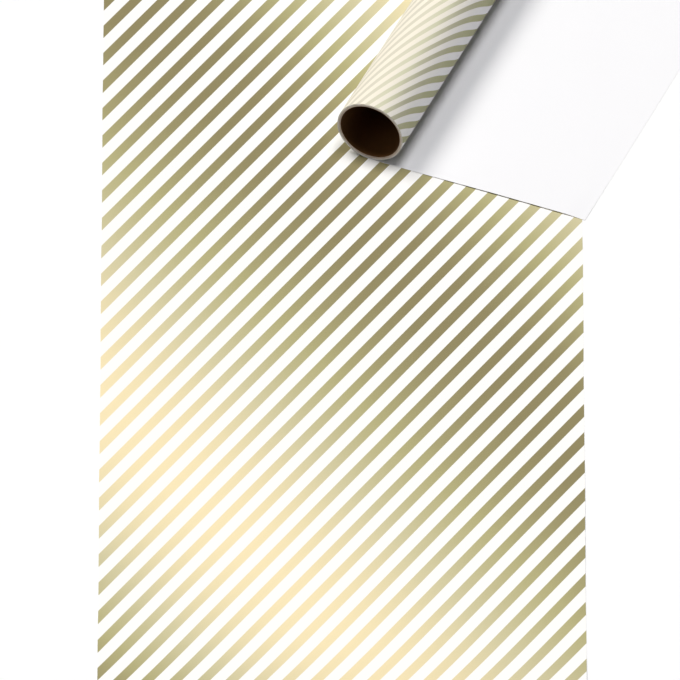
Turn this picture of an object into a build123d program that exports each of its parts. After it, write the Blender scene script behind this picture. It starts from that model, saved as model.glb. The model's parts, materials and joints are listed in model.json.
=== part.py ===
# A roll of striped gift wrap, 700 mm wide, partly unrolled, lying on a sheet cut from such a roll.
#
# Frame: millimetres, +Z up. The origin is the middle of the core's bore, and Y is the roll's axis.
# The front end of the roll is at -Y. The free web leaves the roll's underside towards +X.
#
# The paper of the roll is one sheet in three nodes, because it changes shape as the roll travels:
# wound_paper on the core, web_lift where it leaves the roll, and free_web, which lies flat.
from build123d import *
from math import ceil, degrees
import os

# The paper and the roll
paper_width = 700.0        # length of the roll, and of the core
paper_thickness = 0.08
wound_depth = 0.95         # all the turns on the core, one on the other
free_reach = 145.0         # from the line where the web leaves the roll to its cut end

# The core: thin plies of brown board wound one over the other
core_bore_radius = 20.0
core_wall = 1.0            # all the plies together
ply_names = ("core_inner_ply", "core_middle_ply", "core_outer_ply")

# The double-sided tape that holds the start of the paper on the core
tape_thickness = 0.05
tape_width = 12.0
tape_turn = 70.0           # degrees from +X towards +Z to the middle of the tape

# Where the web leaves the roll
roll_clearance = 0.1       # between the turning roll and the paper that it runs off
lift_turn = 35.0           # degrees of the roll that the web still hugs, up its -X side
lift_flat = 2.0            # flat paper between the roll's lowest line and free_web

# The cut sheet under the roll, with its long side as long as the paper is wide
cut_width = 297.6
cut_turn = 22.95           # degrees anticlockwise from the roll's axis to the sheet's long side
cut_offset_side = -17.3    # from the roll's front end to the sheet's middle, across the sheet
cut_offset_along = -168.0  # the same, along the sheet
sheet_clearance = 0.05     # between the cut sheet and the web that lies on it

# Thin strips are drawn as short arcs, so that each arc bows less than the strip's thickness
arc_step = 3.0             # degrees

ply_thickness = core_wall / len(ply_names)
core_radius = core_bore_radius + core_wall
wound_inner_radius = core_radius + tape_thickness
roll_radius = wound_inner_radius + wound_depth
web_top = -(roll_radius + roll_clearance)
web_bottom = web_top - paper_thickness
cut_top = web_bottom - sheet_clearance
cut_bottom = cut_top - paper_thickness
front_end = -paper_width / 2


def save(node, solid):
    """Write one node to its own STEP file."""
    solid.label = node
    export_step(solid, f"parts/{node}.step")


def tube(inner, outer):
    """A tube along Y as long as the paper is wide."""
    wall = Cylinder(outer, paper_width) - Cylinder(inner, paper_width)
    return Rot(90, 0, 0) * wall


def arcs(radius, start, sweep):
    """Arcs end to end about the axis, none longer than arc_step."""
    count = ceil(sweep / arc_step)
    each = sweep / count
    return [CenterArc((0, 0), radius, start + turn * each, each) for turn in range(count)]


def curved_strip(inner, outer, start, sweep, flat=0.0):
    """A strip of a tube along Y, and a flat that runs straight on from its last edge.
    Angles are in degrees from +X towards +Z."""
    low = arcs(inner, start, sweep)
    high = arcs(outer, start, sweep)
    if flat > 0:
        run = (low[-1] % 1) * flat
        low.append(Line(low[-1] @ 1, low[-1] @ 1 + run))
        high.append(Line(high[-1] @ 1, high[-1] @ 1 + run))
    ends = [Line(low[0] @ 0, high[0] @ 0), Line(low[-1] @ 1, high[-1] @ 1)]
    section = Plane.XZ.offset(-paper_width / 2) * Face(Wire([*low, *high, *ends]))
    return Solid.extrude(section, Vector(0, -paper_width, 0))


def flat_sheet(x_low, x_high, top):
    """A sheet of paper between two x values, as long in Y as the paper is wide."""
    sheet = Box(x_high - x_low, paper_width, paper_thickness, align=(Align.MIN, Align.CENTER, Align.MAX))
    return Pos(x_low, 0, top) * sheet


def core_plies():
    """One tube for each ply, each one wound on the one before."""
    for turn, node in enumerate(ply_names):
        inner = core_bore_radius + turn * ply_thickness
        save(node, tube(inner, inner + ply_thickness))


def start_tape():
    """Tape along the whole core, between its outer ply and the first turn of paper."""
    sweep = degrees(tape_width / core_radius)
    start = tape_turn - sweep / 2
    save("start_tape", curved_strip(core_radius, wound_inner_radius, start, sweep))


def wound_paper():
    """Every turn on the core, as one sleeve."""
    save("wound_paper", tube(wound_inner_radius, roll_radius))


def web_lift():
    """The paper that leaves the roll: an arc round its lower -X side, then a short flat."""
    inner = roll_radius + roll_clearance
    lowest = 270.0
    start = lowest - lift_turn
    save("web_lift", curved_strip(inner, inner + paper_thickness, start, lift_turn, lift_flat))


def free_web():
    """The unrolled paper, flat, with its reverse side up and its cut end parallel to the roll."""
    save("free_web", flat_sheet(lift_flat, free_reach, web_top))


def cut_sheet():
    """The loose sheet under the roll, turned on the table to the roll's axis."""
    sheet = Box(cut_width, paper_width, paper_thickness, align=(Align.CENTER, Align.CENTER, Align.MAX))
    laid = Pos(cut_offset_side, cut_offset_along, 0) * sheet
    save("cut_sheet", Pos(0, front_end, cut_top) * Rot(0, 0, cut_turn) * laid)


os.makedirs("parts", exist_ok=True)
core_plies()
start_tape()
wound_paper()
web_lift()
free_web()
cut_sheet()
print(f"roll radius {roll_radius:.2f}, web from {web_bottom:.2f} to {web_top:.2f}, lowest {cut_bottom:.2f}")
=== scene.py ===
import json
from math import atan2, cos, pi, radians, sin

import bpy
import numpy as np
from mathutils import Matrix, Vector


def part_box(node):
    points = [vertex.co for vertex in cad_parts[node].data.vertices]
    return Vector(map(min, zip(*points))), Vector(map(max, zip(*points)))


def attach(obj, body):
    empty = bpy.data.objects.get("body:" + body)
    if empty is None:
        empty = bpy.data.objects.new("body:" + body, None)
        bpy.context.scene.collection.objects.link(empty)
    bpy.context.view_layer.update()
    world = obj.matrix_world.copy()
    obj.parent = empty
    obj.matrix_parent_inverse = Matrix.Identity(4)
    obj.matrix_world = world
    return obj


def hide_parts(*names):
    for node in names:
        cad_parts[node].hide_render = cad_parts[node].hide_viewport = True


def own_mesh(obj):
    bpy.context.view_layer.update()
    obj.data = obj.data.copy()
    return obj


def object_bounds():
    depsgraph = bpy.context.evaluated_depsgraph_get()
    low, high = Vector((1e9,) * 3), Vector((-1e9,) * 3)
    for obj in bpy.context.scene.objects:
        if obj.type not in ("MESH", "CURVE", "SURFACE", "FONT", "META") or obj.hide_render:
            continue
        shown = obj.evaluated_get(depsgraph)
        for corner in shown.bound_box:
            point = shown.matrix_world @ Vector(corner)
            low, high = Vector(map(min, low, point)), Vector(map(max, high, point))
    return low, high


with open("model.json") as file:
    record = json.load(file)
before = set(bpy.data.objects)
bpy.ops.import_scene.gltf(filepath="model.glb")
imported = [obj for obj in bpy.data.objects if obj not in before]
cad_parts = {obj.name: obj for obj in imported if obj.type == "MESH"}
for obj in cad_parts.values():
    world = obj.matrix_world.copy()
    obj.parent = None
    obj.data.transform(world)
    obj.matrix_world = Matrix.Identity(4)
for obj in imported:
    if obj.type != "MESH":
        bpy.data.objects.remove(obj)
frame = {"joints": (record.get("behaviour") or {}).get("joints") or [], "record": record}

cadLow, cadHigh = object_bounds()
print("frame loaded", [round(v, 4) for v in cadLow], [round(v, 4) for v in cadHigh])

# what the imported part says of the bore, the roll, the web and the loose sheet, in metres
boreMount = next(m for m in frame["record"]["mounts"] if m["name"] == "core_bore")
boreRadius = boreMount["dims"]["r_mm"] / 1000
halfWidth = boreMount["dims"]["length_mm"] / 2000
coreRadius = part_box("core_outer_ply")[1].x
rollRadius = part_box("wound_paper")[1].x
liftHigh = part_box("web_lift")[1]
webLow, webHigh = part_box("free_web")
looseLow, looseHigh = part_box("cut_sheet")
slideJoint = next(j for j in frame["joints"] if j["name"] == "sheet_slide")
sheetTurn = atan2(slideJoint["axis"][0], -slideJoint["axis"][1])  # from the roll's axis to the loose sheet's
acrossSheet = Vector((cos(sheetTurn), sin(sheetTurn), 0))
alongSheet = Vector((-sin(sheetTurn), cos(sheetTurn), 0))
frontEnd = Vector((0, -halfWidth, 0))
# a sheet of width w and length l, turned by t, is w cos(t) + l sin(t) wide along x
looseLength = 2 * halfWidth
looseWidth = round((looseHigh.x - looseLow.x - looseLength * sin(sheetTurn)) / cos(sheetTurn), 5)


def addMesh(name, verts, faces, cornerUv, faceMats, materials, sharpAngle=35):
    mesh = bpy.data.meshes.new(name)
    mesh.from_pydata(verts, [], faces)
    webMap = mesh.uv_layers.new(name="webMap")
    webMap.uv.foreach_set("vector", np.ascontiguousarray(cornerUv, np.float32).ravel())
    mesh.polygons.foreach_set("use_smooth", np.ones(len(faces), bool))
    mesh.polygons.foreach_set("material_index", faceMats.astype(np.int32))
    mesh.set_sharp_from_angle(angle=radians(sharpAngle))
    for material in materials:
        mesh.materials.append(material)
    mesh.update()
    piece = bpy.data.objects.new(name, mesh)
    bpy.context.scene.collection.objects.link(piece)
    return piece


def outwards(verts, faces, cornerUv):
    # six times the volume is the sum of a . (b x c) over the triangles; below zero the shape is inside out
    a, b, c, d = (verts[faces[:, k]] for k in range(4))
    volume = np.sum(a * np.cross(b, c)) + np.sum(a * np.cross(c, d))
    return (faces, cornerUv) if volume > 0 else (faces[:, ::-1], cornerUv[:, ::-1])


def closedSheet(name, face, back, uv, materials):
    # face and back are grids of points of one sheet's two sides; a rim joins their borders.
    # Material 0 is the face, 1 the back and 2 the rim.
    n, m = face.shape[:2]
    count = n * m
    idx = np.arange(count).reshape(n, m)
    quads = np.stack([idx[:-1, :-1], idx[1:, :-1], idx[1:, 1:], idx[:-1, 1:]], -1).reshape(-1, 4)
    border = np.concatenate([idx[:-1, 0], idx[-1, :-1], idx[:0:-1, -1], idx[0, :0:-1]])
    after = np.roll(border, -1)
    rim = np.stack([border, border + count, after + count, after], -1)
    verts = np.concatenate([face.reshape(-1, 3), back.reshape(-1, 3)])
    faces = np.concatenate([quads, quads[:, ::-1] + count, rim])
    faceMats = np.repeat([0, 1, 2], [len(quads), len(quads), len(rim)])
    cornerUv = uv.reshape(-1, 2)[faces % count]
    faces, cornerUv = outwards(verts, faces, cornerUv)
    return addMesh(name, verts, faces, cornerUv, faceMats, materials)


def closedTube(name, face, back, uv, materials):
    # as closedSheet, but the grids' first direction runs round and closes on itself.
    # uv has one more column round than the points, so that the pattern meets itself at the seam.
    n, m = face.shape[:2]
    count = n * m
    idx = np.arange(count).reshape(n, m)
    nxt = np.roll(idx, -1, axis=0)
    quads = np.stack([idx[:, :-1], nxt[:, :-1], nxt[:, 1:], idx[:, 1:]], -1).reshape(-1, 4)
    nearRim = np.stack([idx[:, 0], idx[:, 0] + count, nxt[:, 0] + count, nxt[:, 0]], -1)
    farRim = np.stack([nxt[:, -1], nxt[:, -1] + count, idx[:, -1] + count, idx[:, -1]], -1)
    quadUv = np.stack([uv[:-1, :-1], uv[1:, :-1], uv[1:, 1:], uv[:-1, 1:]], 2).reshape(-1, 4, 2)
    nearUv = np.stack([uv[:-1, 0], uv[:-1, 0], uv[1:, 0], uv[1:, 0]], 1)
    farUv = np.stack([uv[1:, -1], uv[1:, -1], uv[:-1, -1], uv[:-1, -1]], 1)
    verts = np.concatenate([face.reshape(-1, 3), back.reshape(-1, 3)])
    faces = np.concatenate([quads, quads[:, ::-1] + count, nearRim, farRim])
    cornerUv = np.concatenate([quadUv, quadUv[:, ::-1], nearUv, farUv])
    faceMats = np.repeat([0, 1, 2, 2], [len(quads), len(quads), n, n])
    faces, cornerUv = outwards(verts, faces, cornerUv)
    return addMesh(name, verts, faces, cornerUv, faceMats, materials)


def smoothStep(x):
    x = np.clip(x, 0, 1)
    return x * x * (3 - 2 * x)


def gathered(count, low, high, pull=0.65):
    # numbers from low to high that lie closer together near both ends
    t = np.linspace(-1, 1, count)
    t = (1 - pull) * t + pull * np.sin(t * pi / 2)
    return low + (high - low) * (t + 1) / 2


class Nodes:
    # adds nodes to one tree, and links or sets their inputs in the same call
    def __init__(self, tree):
        self.tree = tree

    def add(self, kind, settings=None, inputs=None):
        node = self.tree.nodes.new(kind)
        for key, value in (settings or {}).items():
            setattr(node, key, value)
        for key, value in (inputs or {}).items():
            if isinstance(value, bpy.types.NodeSocket):
                self.tree.links.new(value, node.inputs[key])
            else:
                node.inputs[key].default_value = value
        return node

    def maths(self, operation, a, b=0.0, c=0.0):
        return self.add("ShaderNodeMath", {"operation": operation}, {0: a, 1: b, 2: c}).outputs[0]

    def mix(self, share, a, b):
        return self.add("ShaderNodeMix", {"data_type": "RGBA"}, {0: share, 6: a, 7: b}).outputs[2]

    def ramp(self, value, stops):
        node = self.add("ShaderNodeValToRGB", None, {0: value})
        while len(node.color_ramp.elements) < len(stops):
            node.color_ramp.elements.new(0.5)
        for element, (place, colour) in zip(node.color_ramp.elements, stops):
            element.position = place
            element.color = (*colour, 1)
        return node.outputs[0]


def newGroup(name, inputs, outputs):
    group = bpy.data.node_groups.new(name, "ShaderNodeTree")
    for socketName, kind, default in inputs:
        socket = group.interface.new_socket(socketName, in_out="INPUT", socket_type=kind)
        if default is not None:
            socket.default_value = default
    for socketName, kind in outputs:
        group.interface.new_socket(socketName, in_out="OUTPUT", socket_type=kind)
    tools = Nodes(group)
    source = tools.add("NodeGroupInput")
    sink = tools.add("NodeGroupOutput")
    return group, tools, source.outputs, sink.inputs


def newMaterial(name):
    material = bpy.data.materials.new(name)
    material.use_nodes = True
    material.node_tree.nodes.clear()
    tools = Nodes(material.node_tree)
    shader = tools.add("ShaderNodeBsdfPrincipled")
    output = tools.add("ShaderNodeOutputMaterial")
    material.node_tree.links.new(shader.outputs[0], output.inputs[0])
    return material, tools, shader


def fromHex(text):
    # sRGB hex to the linear colour that the shaders use
    values = [int(text[k:k + 2], 16) / 255 for k in (0, 2, 4)]
    return tuple(v / 12.92 if v <= 0.04045 else ((v + 0.055) / 1.055) ** 2.4 for v in values)


print("tools ready")

# the camera looks down over the near end of the loose sheet, in line with its long side
view = {
    "elevation": radians(42.0),
    "distance": 18.0,        # far off, so that the view is nearly parallel
    "frameWidth": 0.4216,    # width of the picture at the roll's front end
    "acrossShift": 0.01854,  # from the middle of the picture to the roll's front end
    "upShift": 0.12884,
}
looking = alongSheet * cos(view["elevation"]) - Vector((0, 0, sin(view["elevation"])))
pictureUp = alongSheet * sin(view["elevation"]) + Vector((0, 0, cos(view["elevation"])))
target = frontEnd - acrossSheet * view["acrossShift"] - pictureUp * view["upShift"]
cameraData = bpy.data.cameras.new("camera")
cameraData.sensor_width = 36.0
cameraData.lens = cameraData.sensor_width * view["distance"] / view["frameWidth"]
cameraData.clip_start = 0.1
cameraData.clip_end = 200.0
camera = bpy.data.objects.new("camera", cameraData)
bpy.context.scene.collection.objects.link(camera)
camera.location = target - looking * view["distance"]
camera.rotation_euler = looking.to_track_quat("-Z", "Y").to_euler()
bpy.context.scene.camera = camera
print("camera placed")


def makeStripeGroup():
    # distance from the nearest stripe's middle =
    # pitch * |fraction((x cos t - y sin t) / pitch + start) - 0.5|.
    # The mask is 1 where that is under half the stripe's width, and the ink bleeds a little at its edges.
    group, n, given, out = newGroup("stripeMask", [
        ("Place", "NodeSocketVector", None), ("Turn", "NodeSocketFloat", 0.5),
        ("Pitch", "NodeSocketFloat", 0.01), ("Share", "NodeSocketFloat", 0.45),
        ("Start", "NodeSocketFloat", 0.0), ("Bleed", "NodeSocketFloat", 0.0001),
    ], [("Mask", "NodeSocketFloat")])
    part = n.add("ShaderNodeSeparateXYZ", None, {0: given["Place"]}).outputs
    across = n.maths("MULTIPLY", part[0], n.maths("COSINE", given["Turn"]))
    across = n.maths("SUBTRACT", across, n.maths("MULTIPLY", part[1], n.maths("SINE", given["Turn"])))
    repeat = n.maths("ADD", n.maths("DIVIDE", across, given["Pitch"]), given["Start"])
    offMiddle = n.maths("ABSOLUTE", n.maths("SUBTRACT", n.maths("FRACT", repeat), 0.5))
    distance = n.maths("MULTIPLY", offMiddle, given["Pitch"])
    grain = n.add("ShaderNodeTexNoise", {"noise_dimensions": "2D"},
                  {"Vector": given["Place"], "Scale": 2600.0, "Detail": 3.0, "Roughness": 0.6}).outputs[0]
    wander = n.maths("MULTIPLY", n.maths("SUBTRACT", grain, 0.5), n.maths("MULTIPLY", given["Bleed"], 1.6))
    halfStripe = n.maths("MULTIPLY", n.maths("MULTIPLY", given["Share"], given["Pitch"]), 0.5)
    inside = n.maths("ADD", n.maths("SUBTRACT", halfStripe, distance), wander)
    outside = n.maths("MULTIPLY", given["Bleed"], -1.0)
    edge = n.add("ShaderNodeMapRange", {"interpolation_type": "SMOOTHSTEP"},
                 {0: inside, 1: outside, 2: given["Bleed"], 3: 0.0, 4: 1.0}).outputs[0]
    n.tree.links.new(edge, out["Mask"])
    return group


def makeGoldGroup():
    # painted sheen: light and dark bands in the gold that stand in for the foil's reflection, tone = 0.446 -
    # 0.49 cos(w + 0.75) - 0.051 cos(2 w - 1), where w goes round once in each wave; fine specks and soft
    # clouds add random mottle
    group, n, given, out = newGroup("goldPaintedSheen", [
        ("Place", "NodeSocketVector", None), ("Turn", "NodeSocketFloat", 0.5),
        ("Wave", "NodeSocketFloat", 0.4), ("Start", "NodeSocketFloat", 0.0),
    ], [("SheenAndMottle", "NodeSocketFloat"), ("Roughness", "NodeSocketFloat")])
    part = n.add("ShaderNodeSeparateXYZ", None, {0: given["Place"]}).outputs
    along = n.maths("MULTIPLY", part[0], n.maths("COSINE", given["Turn"]))
    along = n.maths("ADD", along, n.maths("MULTIPLY", part[1], n.maths("SINE", given["Turn"])))
    turn = n.maths("DIVIDE", n.maths("MULTIPLY", along, 2 * pi), given["Wave"])
    turn = n.maths("ADD", turn, given["Start"])
    slow = n.maths("MULTIPLY", n.maths("COSINE", n.maths("ADD", turn, 0.75)), -0.49)
    fast = n.maths("MULTIPLY", n.maths("COSINE", n.maths("MULTIPLY_ADD", turn, 2.0, -1.0)), -0.051)
    tone = n.maths("ADD", n.maths("ADD", slow, fast), 0.446)
    speck = n.add("ShaderNodeTexNoise", {"noise_dimensions": "2D"},
                  {"Vector": given["Place"], "Scale": 3800.0, "Detail": 2.0}).outputs[0]
    cloud = n.add("ShaderNodeTexNoise", {"noise_dimensions": "2D"},
                  {"Vector": given["Place"], "Scale": 90.0, "Detail": 2.0}).outputs[0]
    tone = n.maths("MULTIPLY_ADD", n.maths("SUBTRACT", speck, 0.5), 0.10, tone)
    tone = n.maths("MULTIPLY_ADD", n.maths("SUBTRACT", cloud, 0.5), 0.04, tone)
    n.tree.links.new(tone, out["SheenAndMottle"])
    n.tree.links.new(n.maths("MULTIPLY_ADD", speck, 0.18, 0.44), out["Roughness"])
    return group


def makeFibreGroup():
    # long thin noise in two directions, as in pressed pulp: Height is for bumps, Shade for slight clouds
    group, n, given, out = newGroup("paperFibre", [
        ("Place", "NodeSocketVector", None),
        ("Size", "NodeSocketFloat", 0.0004), ("Stretch", "NodeSocketFloat", 3.0),
    ], [("Height", "NodeSocketFloat"), ("Shade", "NodeSocketFloat")])
    scale = n.maths("DIVIDE", 1.0, given["Size"])
    part = n.add("ShaderNodeSeparateXYZ", None, {0: given["Place"]}).outputs
    layers = []
    for first, second, third in ((0, 1, 2), (1, 0, 2)):
        longWay = n.maths("DIVIDE", part[first], given["Stretch"])
        place = n.add("ShaderNodeCombineXYZ", None, {0: longWay, 1: part[second], 2: part[third]}).outputs[0]
        layers.append(n.add("ShaderNodeTexNoise", None,
                            {"Vector": place, "Scale": scale, "Detail": 4.0, "Roughness": 0.62}).outputs[0])
    height = n.maths("MULTIPLY", n.maths("ADD", layers[0], layers[1]), 0.5)
    cloudScale = n.maths("MULTIPLY", scale, 0.02)
    cloud = n.add("ShaderNodeTexNoise", None,
                  {"Vector": given["Place"], "Scale": cloudScale, "Detail": 3.0}).outputs[0]
    n.tree.links.new(height, out["Height"])
    n.tree.links.new(n.maths("MULTIPLY_ADD", cloud, 0.5, n.maths("MULTIPLY", height, 0.5)), out["Shade"])
    return group


stripeGroup = makeStripeGroup()
goldGroup = makeGoldGroup()
fibreGroup = makeFibreGroup()


def useGroup(tools, group, inputs):
    return tools.add("ShaderNodeGroup", {"node_tree": group}, inputs).outputs


def addBump(tools, shader, height, strength, distance):
    bump = tools.add("ShaderNodeBump", None, {"Strength": strength, "Distance": distance, "Height": height})
    tools.tree.links.new(bump.outputs[0], shader.inputs["Normal"])


print("shader groups made")

paperLook = {
    # the cream of the painted warm light on the roll's white
    "paintedWarmLight": fromHex("F5ECD7"),
    "whiteShade": fromHex("EDEBE8"),
    "reverse": fromHex("F1F1F5"),
    "cutEdge": fromHex("E4DED6"),
    "printRoughness": 0.64,
    "reverseRoughness": 0.72,
    "inkMetal": 0.22,        # how far the ink shines like metal
    "inkBleed": 0.00009,     # how soft a stripe's edge is
    "shine": 0.35,
}


def printedPaper(name, look):
    # white coated paper with a gold stripe print, on the piece's own map in metres; the gold carries a
    # painted sheen, and the white a painted warm light where that sheen is palest
    material, n, shader = newMaterial(name)
    place = n.add("ShaderNodeUVMap", {"uv_map": "webMap"}).outputs[0]
    stripe = useGroup(n, stripeGroup, {"Place": place, "Turn": look["stripeTurn"], "Pitch": look["pitch"],
                                       "Share": look["share"], "Start": look["start"],
                                       "Bleed": paperLook["inkBleed"]})
    gold = useGroup(n, goldGroup, {"Place": place, "Turn": look["toneTurn"], "Wave": look["wave"],
                                   "Start": look["toneStart"]})
    fibre = useGroup(n, fibreGroup, {"Place": place, "Size": 0.0005, "Stretch": 2.5})
    # the gold's colour from olive to cream follows the painted sheen
    inkAndSheen = n.ramp(gold["SheenAndMottle"], [(at, fromHex(text)) for at, text in look["goldBySheen"]])
    cloudy = n.maths("MULTIPLY", fibre["Shade"], 0.06)
    white = n.mix(cloudy, (*fromHex(look["white"]), 1), (*paperLook["whiteShade"], 1))
    # painted warm light: the white is warmed to cream where the painted sheen is at its palest, which on the
    # roll is its lit side
    paintedWarmLight = n.add("ShaderNodeMapRange", {"interpolation_type": "SMOOTHSTEP"},
                  {0: gold["SheenAndMottle"], 1: 0.50, 2: 0.98, 3: 0.0, 4: look["paintedWarmLight"]}).outputs[0]
    white = n.mix(paintedWarmLight, white, (*paperLook["paintedWarmLight"], 1))
    colour = n.mix(stripe["Mask"], white, inkAndSheen)
    rough = n.maths("MULTIPLY_ADD", fibre["Height"], 0.08, paperLook["printRoughness"] - 0.04)
    rough = n.maths("ADD", n.maths("MULTIPLY", rough, n.maths("SUBTRACT", 1.0, stripe["Mask"])),
                    n.maths("MULTIPLY", gold["Roughness"], stripe["Mask"]))
    n.tree.links.new(colour, shader.inputs["Base Color"])
    n.tree.links.new(rough, shader.inputs["Roughness"])
    n.tree.links.new(n.maths("MULTIPLY", stripe["Mask"], paperLook["inkMetal"]), shader.inputs["Metallic"])
    shader.inputs["Specular IOR Level"].default_value = paperLook["shine"]
    # the ink stands a few thousandths of a millimetre over the paper
    height = n.maths("MULTIPLY_ADD", stripe["Mask"], 0.5, n.maths("MULTIPLY", fibre["Height"], 0.6))
    addBump(n, shader, height, 0.35, 0.00004)
    return material


def plainPaper(name, colour, roughness, size):
    # uncoated paper or a cut edge: fine fibres, a little cloudy
    material, n, shader = newMaterial(name)
    place = n.add("ShaderNodeTexCoord").outputs["Object"]
    fibre = useGroup(n, fibreGroup, {"Place": place, "Size": size, "Stretch": 3.0})
    shade = tuple(v * 0.90 for v in colour)
    mixed = n.mix(n.maths("MULTIPLY", fibre["Shade"], 0.16), (*colour, 1), (*shade, 1))
    n.tree.links.new(mixed, shader.inputs["Base Color"])
    gloss = n.maths("MULTIPLY_ADD", fibre["Height"], 0.14, roughness - 0.07)
    n.tree.links.new(gloss, shader.inputs["Roughness"])
    addBump(n, shader, fibre["Height"], 0.45, 0.00005)
    return material


boardLook = {
    "liner": fromHex("7E521C"),
    "linerDark": fromHex("50300C"),
    "grey": fromHex("C4B4A6"),
    "greyDark": fromHex("A79684"),
    "edge": fromHex("CBBBAE"),
    "fleck": fromHex("9C8668"),
    "linerFlecks": 0.10,     # how strongly the light flecks show
    "greyFlecks": 0.35,
    "fleckScale": 900.0,
}


def boardPaper(name, colour, dark, roughness, flecks):
    # pulp board: streaks along the strip, darker cloudy patches and a few light flecks
    material, n, shader = newMaterial(name)
    place = n.add("ShaderNodeUVMap", {"uv_map": "webMap"}).outputs[0]
    fibre = useGroup(n, fibreGroup, {"Place": place, "Size": 0.0006, "Stretch": 6.0})
    spots = n.add("ShaderNodeTexNoise", None,
                  {"Vector": place, "Scale": boardLook["fleckScale"], "Detail": 2.0}).outputs[0]
    spots = n.add("ShaderNodeMapRange", None, {0: spots, 1: 0.62, 2: 0.74, 3: 0.0, 4: flecks}).outputs[0]
    mixed = n.mix(n.maths("MULTIPLY", fibre["Shade"], 1.1), (*colour, 1), (*dark, 1))
    mixed = n.mix(spots, mixed, (*boardLook["fleck"], 1))
    n.tree.links.new(mixed, shader.inputs["Base Color"])
    gloss = n.maths("MULTIPLY_ADD", fibre["Height"], 0.15, roughness - 0.08)
    n.tree.links.new(gloss, shader.inputs["Roughness"])
    addBump(n, shader, fibre["Height"], 0.6, 0.00008)
    return material


def filmTape(name, colour):
    # clear film over glue, with faint long streaks in its gloss
    material, n, shader = newMaterial(name)
    place = n.add("ShaderNodeTexCoord").outputs["Object"]
    fibre = useGroup(n, fibreGroup, {"Place": place, "Size": 0.002, "Stretch": 8.0})
    n.tree.links.new(n.maths("MULTIPLY_ADD", fibre["Height"], 0.2, 0.15), shader.inputs["Roughness"])
    shader.inputs["Base Color"].default_value = (*colour, 1)
    shader.inputs["Coat Weight"].default_value = 0.4
    return material


rollPrintLook = {
    # the roll's white is a little greyer and cooler than the sheet's: painted shade
    "white": "F0EFF0",
    "stripeTurn": radians(21.8),   # from the roll's axis
    "pitch": 0.00577,
    "share": 0.46,
    "start": 0.24,
    # on the roll the painted sheen's wave is set so that its pale band lies where the key lights the outer
    # turn and its dark band on the side away from the key
    "toneTurn": 0.0,
    "wave": 0.20,
    "toneStart": 0.52,
    # how strongly the painted warm light creams the white
    "paintedWarmLight": 0.8,
    "goldBySheen": ((0.0, "8A855A"), (0.43, "9D9D70"), (0.60, "B2B08A"), (0.74, "C9C6AD"), (0.86, "DEDDBF"),
                  (0.98, "E0DAC9")),
}
sheetPrintLook = {
    "white": "F8F7F6",
    "stripeTurn": radians(33.71),  # from the sheet's long side
    "pitch": 0.014281,
    "share": 0.46,
    "start": 0.807,
    # broad light and dark bands of painted sheen across the sheet, standing in for the foil's reflection
    "toneTurn": radians(33.79),
    "wave": 0.4155,
    "toneStart": 0.0,
    "paintedWarmLight": 0.0,
    "goldBySheen": ((0.0, "918760"), (0.27, "B6B080"), (0.60, "D4CCA5"), (1.0, "F9E8BD")),
}
rollPrint = printedPaper("rollPrint", rollPrintLook)
sheetPrint = printedPaper("sheetPrint", sheetPrintLook)
plainReverse = plainPaper("plainReverse", paperLook["reverse"], paperLook["reverseRoughness"], 0.0005)
cutEdge = plainPaper("cutEdge", paperLook["cutEdge"], 0.85, 0.0002)
linerBoard = boardPaper("linerBoard", boardLook["liner"], boardLook["linerDark"], 0.8,
                        boardLook["linerFlecks"])
greyBoard = boardPaper("greyBoard", boardLook["grey"], boardLook["greyDark"], 0.85,
                       boardLook["greyFlecks"])
boardEdge = plainPaper("boardEdge", boardLook["edge"], 0.9, 0.0002)
print("materials made")

# the core: three plies of board, the inner one with an open butt seam that winds along the bore
core = {
    "plyNodes": ("core_inner_ply", "core_middle_ply", "core_outer_ply"),
    "seamLead": 0.092,       # the seam goes round once in this length
    "seamWidth": 0.0005,
    "seamDepth": 0.00012,
    "seamRows": 440,
    "plainRows": 9,
    "columns": 72,
    "plyTurn": 0.9,          # each ply starts this far round from the one before
    "endSetBack": 0.00006,   # the outer ply's ends lie this far in from the paper's width, ...
    "plySetBack": 0.00009,   # ... and each ply within it this much more
    "endWander": 0.00008,    # how far a ply's cut end strays from square
}


def makePly(order, node, materials):
    # inner radius = the ply's own + depth * (1 - (s / half the seam's width)^2) at the seam, where s is the
    # way round from it. The grid is twisted with the seam, so that one column of points follows it.
    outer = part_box(node)[1].x
    thickness = (coreRadius - boreRadius) / len(core["plyNodes"])
    inner = outer - thickness
    seamed = order == 0
    columns = core["columns"]
    round0 = np.linspace(-1, 1, columns, endpoint=False)
    round1 = np.append(round0, 1.0)
    shape = (lambda t: t * (0.15 + 0.85 * t * t)) if seamed else (lambda t: t)
    angle = pi * shape(round0)
    rows = core["seamRows"] if seamed else core["plainRows"]
    y = np.linspace(-halfWidth, halfWidth, rows)
    twist = 2 * pi / core["seamLead"] if seamed else 0.0
    a = angle[:, None] + twist * y[None, :] + core["plyTurn"] * order
    wander = core["endWander"] * (np.sin(3 * a + order) + 0.6 * np.sin(7 * a + 2.1 * order))
    ends = np.sign(y)[None, :] * (np.abs(y)[None, :] >= halfWidth - 1e-9)
    setBack = core["endSetBack"] + core["plySetBack"] * (len(core["plyNodes"]) - 1 - order)
    yy = y[None, :] - ends * (setBack + wander - wander.min())
    away = np.abs(angle)[:, None] * inner
    groove = core["seamDepth"] * np.clip(1 - (away / (core["seamWidth"] / 2)) ** 2, 0, 1) if seamed else 0.0
    innerGrid = np.stack([(inner + groove) * np.cos(a), yy, (inner + groove) * np.sin(a)], -1)
    outerGrid = np.stack([outer * np.cos(a), yy, outer * np.sin(a)], -1)
    flat = pi * shape(round1) * inner
    uv = np.stack(np.broadcast_arrays(flat[:, None], y[None, :]), -1)
    piece = closedTube(node.replace("_ply", ""), innerGrid, outerGrid, uv, materials)
    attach(piece, "roll")
    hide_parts(node)


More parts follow.
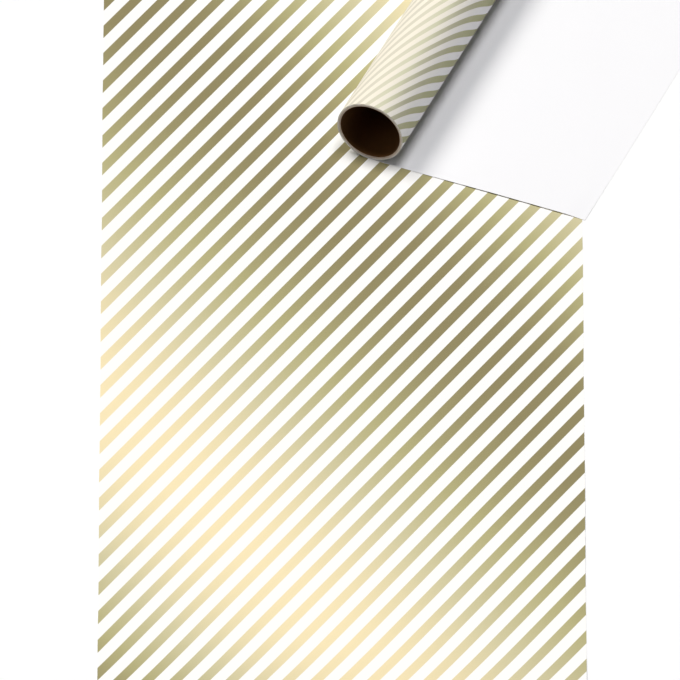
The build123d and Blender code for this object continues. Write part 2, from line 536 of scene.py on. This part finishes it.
for order, node in enumerate(core["plyNodes"]):
    surface = linerBoard if order == 0 else greyBoard
    makePly(order, node, [surface, greyBoard, boardEdge])
print("core made")

# the tape that holds the start of the paper on the core
tape = {
    "thickness": 0.00005,
    "width": 0.012,
    "middle": radians(70),
    "shortBy": 0.0015,       # from each end of the core
    "slack": 0.06,           # the share of its thickness that is left free on either side
    "colour": fromHex("E6E2D2"),
}
tapeFilm = filmTape("tapeFilm", tape["colour"])

# the roll's paper: one long spiral of thin sheet, printed side out
paper = {
    "turns": 11.5556,        # from the tape to the roll's lowest line
    "steps": 150,            # grid steps in each turn
    "rows": 18,
    "gap": 0.000006,         # air between one turn and the next
    "endStray": 0.00022,     # how far the turns' edges stray along the roll
    "edgeRipple": 0.00006,   # gentle ripples at the ends, ...
    "rippleReach": 0.012,    # ... which die away along the roll over this length
    "bendAmount": 1.15,      # the stripes of the outer turn lean over by this much, ...
    "bendFrom": 0.0835,      # ... from this far up the web from the roll's lowest line ...
    "bendTo": 0.1010,        # ... to this far, ...
    "bendEnd": 0.13,         # ... and the lean ends here, just before the next turn
}
woundInner = coreRadius + tape["thickness"]
woundPitch = (rollRadius - woundInner) / paper["turns"]
sheetThickness = webHigh.z - webLow.z


def spiralRadius(angle):
    return woundInner + woundPitch * (angle - tape["middle"]) / (2 * pi)


def spiralLength(angle):
    # length of the spiral from the tape: the mean radius times the angle turned
    return (woundInner + spiralRadius(angle)) / 2 * (angle - tape["middle"])


def printBend(flat):
    # the shift of the print along the roll: amount * the integral of a smooth step from bendFrom to bendTo,
    # which is width * (t^3 - t^4 / 2) in the step and a straight line after it
    width = paper["bendTo"] - paper["bendFrom"]
    t = np.clip((flat - paper["bendFrom"]) / width, 0, 1)
    straight = np.clip(np.minimum(flat, paper["bendEnd"]) - paper["bendTo"], 0, None)
    return paper["bendAmount"] * (width * (t ** 3 - t ** 4 / 2) + straight)


lastAngle = tape["middle"] + 2 * pi * paper["turns"]
totalWound = spiralLength(lastAngle)


def makeWoundPaper():
    # outer face: r = inner radius + pitch * turns wound; the inner face lies one sheet's thickness under it
    steps = int(paper["steps"] * paper["turns"])
    angle = np.linspace(tape["middle"], lastAngle, steps)[:, None]
    y = gathered(paper["rows"], -halfWidth, halfWidth, 0.85)[None, :]
    depth = (spiralRadius(angle) - woundInner) / (rollRadius - woundInner)
    fromEnd = halfWidth - np.abs(y)
    ripple = paper["edgeRipple"] * np.exp(-fromEnd / paper["rippleReach"]) * depth
    ripple = ripple * (np.sin(5 * angle + 9 * np.sign(y)) + 0.5 * np.sin(11 * angle + 2))
    sway = 0.3 * np.sin(0.83 * angle + 1.3 * np.sign(y)) + 0.2 * np.sin(2.31 * angle)
    stray = paper["endStray"] * (0.5 + sway)
    yy = y * (1 - stray / halfWidth)
    thick = min(sheetThickness, woundPitch) - paper["gap"]
    outerR = spiralRadius(angle) + ripple
    innerR = outerR - thick
    outer = np.stack(np.broadcast_arrays(outerR * np.cos(angle), yy, outerR * np.sin(angle)), -1)
    inner = np.stack(np.broadcast_arrays(innerR * np.cos(angle), yy, innerR * np.sin(angle)), -1)
    flat = totalWound - spiralLength(angle)      # 0 at the roll's lowest line, growing towards the core
    uv = np.stack(np.broadcast_arrays(flat, y + printBend(flat)), -1)
    piece = closedSheet("woundPaper", outer, inner, uv, [rollPrint, plainReverse, cutEdge])
    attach(piece, "roll")
    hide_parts("wound_paper")


def makeStartTape():
    # a strip of a thin tube between the core and the first turn: (r cos a, y, r sin a) at two radii r
    half = tape["width"] / 2 / coreRadius
    angle = np.linspace(tape["middle"] - half, tape["middle"] + half, 14)[:, None]
    y = np.linspace(tape["shortBy"] - halfWidth, halfWidth - tape["shortBy"], 12)[None, :]
    grids = []
    for share in (1 - tape["slack"], tape["slack"]):
        radius = coreRadius + tape["thickness"] * share
        grids.append(np.stack(np.broadcast_arrays(radius * np.cos(angle), y, radius * np.sin(angle)), -1))
    uv = np.stack(np.broadcast_arrays(angle * coreRadius, y), -1)
    piece = closedSheet("startTape", grids[0], grids[1], uv, [tapeFilm, tapeFilm, tapeFilm])
    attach(piece, "roll")
    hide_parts("start_tape")


makeWoundPaper()
makeStartTape()
print("paper on the core made:", round(totalWound, 3), "m long")


# the web that leaves the roll, and the free web that lies reverse side up
web = {
    "liftTurn": radians(35),  # how far round the roll the web still hugs it
    "liftGap": 0.00002,      # air between the roll and the web where it leaves the roll
    "sideLift": 0.0007,      # how far the side edges stand off what they lie on, away from the roll
    "sideReach": 0.035,      # how far in from the side edges that lift is felt
    "liftFrom": 0.08,        # the lift is full this far from the roll
    "wave": 0.00012,
    "endCalm": 0.015,        # the lift and the waves die away over this length before the cut end
    "settleReach": 0.02,     # the way in which the web comes down to the floor past the loose sheet
    "askew": 0.0008,         # how far the web has run off to one side by its cut end
    "sideStray": 0.00012,    # the waver of the side edges, ...
    "endStray": 0.00015,     # ... and of the cut end
    "liftRows": 40,          # grid steps of the lift, the same number along it and across it
    "columns": 56,           # grid steps of the free web away from the roll, ...
    "rows": 150,             # ... and along the roll
}


def makeWebLift():
    # an arc whose radius closes in on the roll's by its upper end, then a flat; u runs from the arc's end
    flatEnd = liftHigh.x
    lowest = -pi / 2
    arcRadius = -webHigh.z
    t = np.linspace(0, 1, web["liftRows"])
    angle = lowest - web["liftTurn"] * (1 - t)
    radius = arcRadius - (arcRadius - rollRadius - web["liftGap"]) * smoothStep(1 - t)
    arcPoints = np.stack([radius * np.cos(angle), radius * np.sin(angle)], -1)
    normal = np.stack([np.cos(angle), np.sin(angle)], -1)
    flatX = np.linspace(0, flatEnd, 4)[1:]
    flatPoints = np.stack([flatX, np.full(3, -arcRadius)], -1)
    points = np.concatenate([arcPoints, flatPoints])
    normals = np.concatenate([normal, np.tile([0.0, -1.0], (3, 1))])
    y = np.linspace(-halfWidth, halfWidth, web["liftRows"])
    below = points + normals * sheetThickness

    def grid(p):
        return np.stack(np.broadcast_arrays(p[:, None, 0], y[None, :], p[:, None, 1]), -1)

    flat = np.concatenate([-rollRadius * (angle - lowest), -flatX])
    uv = np.stack(np.broadcast_arrays(flat[:, None], y[None, :]), -1)
    piece = closedSheet("webLift", grid(below), grid(points), uv, [rollPrint, plainReverse, cutEdge])
    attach(piece, "lift_off")
    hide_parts("web_lift")


def webHeight(x, y):
    # the height of the free web over what it lies on: a lift along both side edges, which grows away from
    # the roll, and waves too low to see except at a glancing light
    fromSide = halfWidth - np.abs(y)
    fromRoll = (x - webLow.x) / web["liftFrom"]
    calm = smoothStep((webHigh.x - x) / web["endCalm"])
    side = web["sideLift"] * smoothStep(1 - fromSide / web["sideReach"]) * np.clip(fromRoll, 0, 1) ** 1.5
    waves = web["wave"] * (1 + np.sin(31 * x + 23 * y) * np.sin(17 * y - 9 * x)) * smoothStep(fromRoll)
    # past the loose sheet's side the web settles down to the floor
    middle = (looseLow + looseHigh) / 2
    past = (x - middle.x) * acrossSheet.x + (y - middle.y) * acrossSheet.y - looseWidth / 2
    settled = (webLow.z - looseLow.z) * smoothStep(past / web["settleReach"])
    return (side + waves) * calm - settled


def makeFreeWeb():
    # (x, y + askew * share of the way to the cut end, height): two such faces, one sheet's thickness apart
    x = np.linspace(webLow.x, webHigh.x, web["columns"])[:, None]
    y = gathered(web["rows"], -halfWidth, halfWidth, 0.75)[None, :]
    height = webHeight(x, y)
    stray = web["sideStray"] * np.sin(40 * x) * (halfWidth - np.abs(y) < 1e-9) * np.sign(y)
    stray = stray - web["askew"] * (x - webLow.x) / (webHigh.x - webLow.x)
    endStray = web["endStray"] * np.sin(29 * y) * (webHigh.x - x < 1e-9)
    top = np.stack(np.broadcast_arrays(x - endStray, y + stray, webHigh.z + height), -1)
    bottom = np.stack(np.broadcast_arrays(x - endStray, y + stray, webLow.z + height), -1)
    uv = np.stack(np.broadcast_arrays(-x, y), -1)
    piece = closedSheet("freeWeb", bottom, top, uv, [rollPrint, plainReverse, cutEdge])
    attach(piece, "web")
    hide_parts("free_web")
    # all of the web that the roll has not yet taken up lies between the lift's end and the cut end
    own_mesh(piece)


makeWebLift()
makeFreeWeb()
print("web made")

# the loose cut sheet under the roll, printed side up
loose = {
    "curl": 0.003,           # how far the end that is clear of the roll curls up
    "curlReach": 0.09,
    "wave": 0.00025,
    "waveFrom": 0.05,        # the waves start this far in front of the sheet's middle, clear of the roll, ...
    "waveReach": 0.12,       # ... and are full this much further on
    "cutStray": 0.00010,     # the cut's waver along the long sides
    "columns": 70,
    "rows": 150,
}


def makeLooseSheet():
    # grid over the sheet's own side and along directions, turned and moved into the frame
    middle = (looseLow + looseHigh) / 2
    s = gathered(loose["columns"], -looseWidth / 2, looseWidth / 2, 0.5)[:, None]
    v = gathered(loose["rows"], -looseLength / 2, looseLength / 2, 0.5)[None, :]
    free = smoothStep((-v - loose["waveFrom"]) / loose["waveReach"])   # 0 under the roll, 1 well before it
    height = loose["curl"] * smoothStep((-v - looseLength / 2) / loose["curlReach"] + 1) ** 2
    height = height + free * loose["wave"] * (1 + np.sin(27 * s + 11 * v) * np.sin(19 * v - 13 * s))
    onSide = np.abs(np.abs(s) - looseWidth / 2) < 1e-9
    side = s + np.sign(s) * onSide * loose["cutStray"] * (np.sin(37 * v) + 0.5 * np.sin(91 * v + 1))
    along = v + 0 * s
    x = middle.x + side * acrossSheet.x + along * alongSheet.x
    y = middle.y + side * acrossSheet.y + along * alongSheet.y
    top = np.stack([x, y, looseHigh.z + height], -1)
    bottom = np.stack([x, y, looseLow.z + height], -1)
    # the map's zero is the point under the roll's front end, so that the print lines up with the roll
    offset = middle - Vector((frontEnd.x, frontEnd.y, middle.z))
    uv = np.stack([side + offset.dot(acrossSheet), along + offset.dot(alongSheet)], -1)
    piece = closedSheet("cutSheet", top, bottom, uv, [sheetPrint, plainReverse, cutEdge])
    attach(piece, "cut_sheet")
    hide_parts("cut_sheet")


makeLooseSheet()
print("loose sheet made")

# the stage: a pale floor, a key from the left, a broad soft light overhead and a faint even sky
stage = {
    "floorSize": 60.0,
    "floorGap": 0.00005,
    "floorColour": (0.915, 0.92, 0.94),
    "floorRoughness": 0.9,
    "lights": (              # name, where it comes from, how wide it looks, power and colour
        ("key", Vector((-0.50, 0.10, 0.866)), radians(24), 1.86, (1.0, 0.98, 0.925)),
        ("overhead", Vector((0.095, 0.08, 0.992)), radians(23), 1.61, (1.0, 1.0, 1.005)),
        ("fill", Vector((-0.45, -0.72, 0.53)), radians(40), 0.36, (1.0, 1.0, 1.0)),
    ),
    "skyColour": (0.97, 0.975, 1.0),
    "skyPower": 0.03,
}


def makeStage():
    half = stage["floorSize"] / 2
    z = cadLow.z - stage["floorGap"]
    mesh = bpy.data.meshes.new("floor")
    corners = [(-half, -half, z), (half, -half, z), (half, half, z), (-half, half, z)]
    mesh.from_pydata(corners, [], [(0, 1, 2, 3)])
    floor = bpy.data.objects.new("floor", mesh)
    bpy.context.scene.collection.objects.link(floor)
    material, n, shader = newMaterial("floorWhite")
    shader.inputs["Base Color"].default_value = (*stage["floorColour"], 1)
    shader.inputs["Roughness"].default_value = stage["floorRoughness"]
    mesh.materials.append(material)
    for name, source, width, power, colour in stage["lights"]:
        lamp = bpy.data.lights.new(name, "SUN")
        lamp.energy = power
        lamp.angle = width
        lamp.color = colour
        lampObject = bpy.data.objects.new(name, lamp)
        bpy.context.scene.collection.objects.link(lampObject)
        lampObject.rotation_euler = source.to_track_quat("Z", "Y").to_euler()
    # the backdrop is white to look at but gives only a faint light
    world = bpy.data.worlds.new("sky")
    world.use_nodes = True
    tools = Nodes(world.node_tree)
    faint = world.node_tree.nodes["Background"]
    faint.inputs[0].default_value = (*stage["skyColour"], 1)
    faint.inputs[1].default_value = stage["skyPower"]
    bright = tools.add("ShaderNodeBackground", None, {0: (1, 1, 1, 1), 1: 1.0})
    seen = tools.add("ShaderNodeLightPath").outputs["Is Camera Ray"]
    both = tools.add("ShaderNodeMixShader", None, {0: seen, 1: faint.outputs[0], 2: bright.outputs[0]})
    world.node_tree.links.new(both.outputs[0], world.node_tree.nodes["World Output"].inputs[0])
    bpy.context.scene.world = world
    bpy.context.scene.view_settings.view_transform = "Standard"


makeStage()
print("stage set")
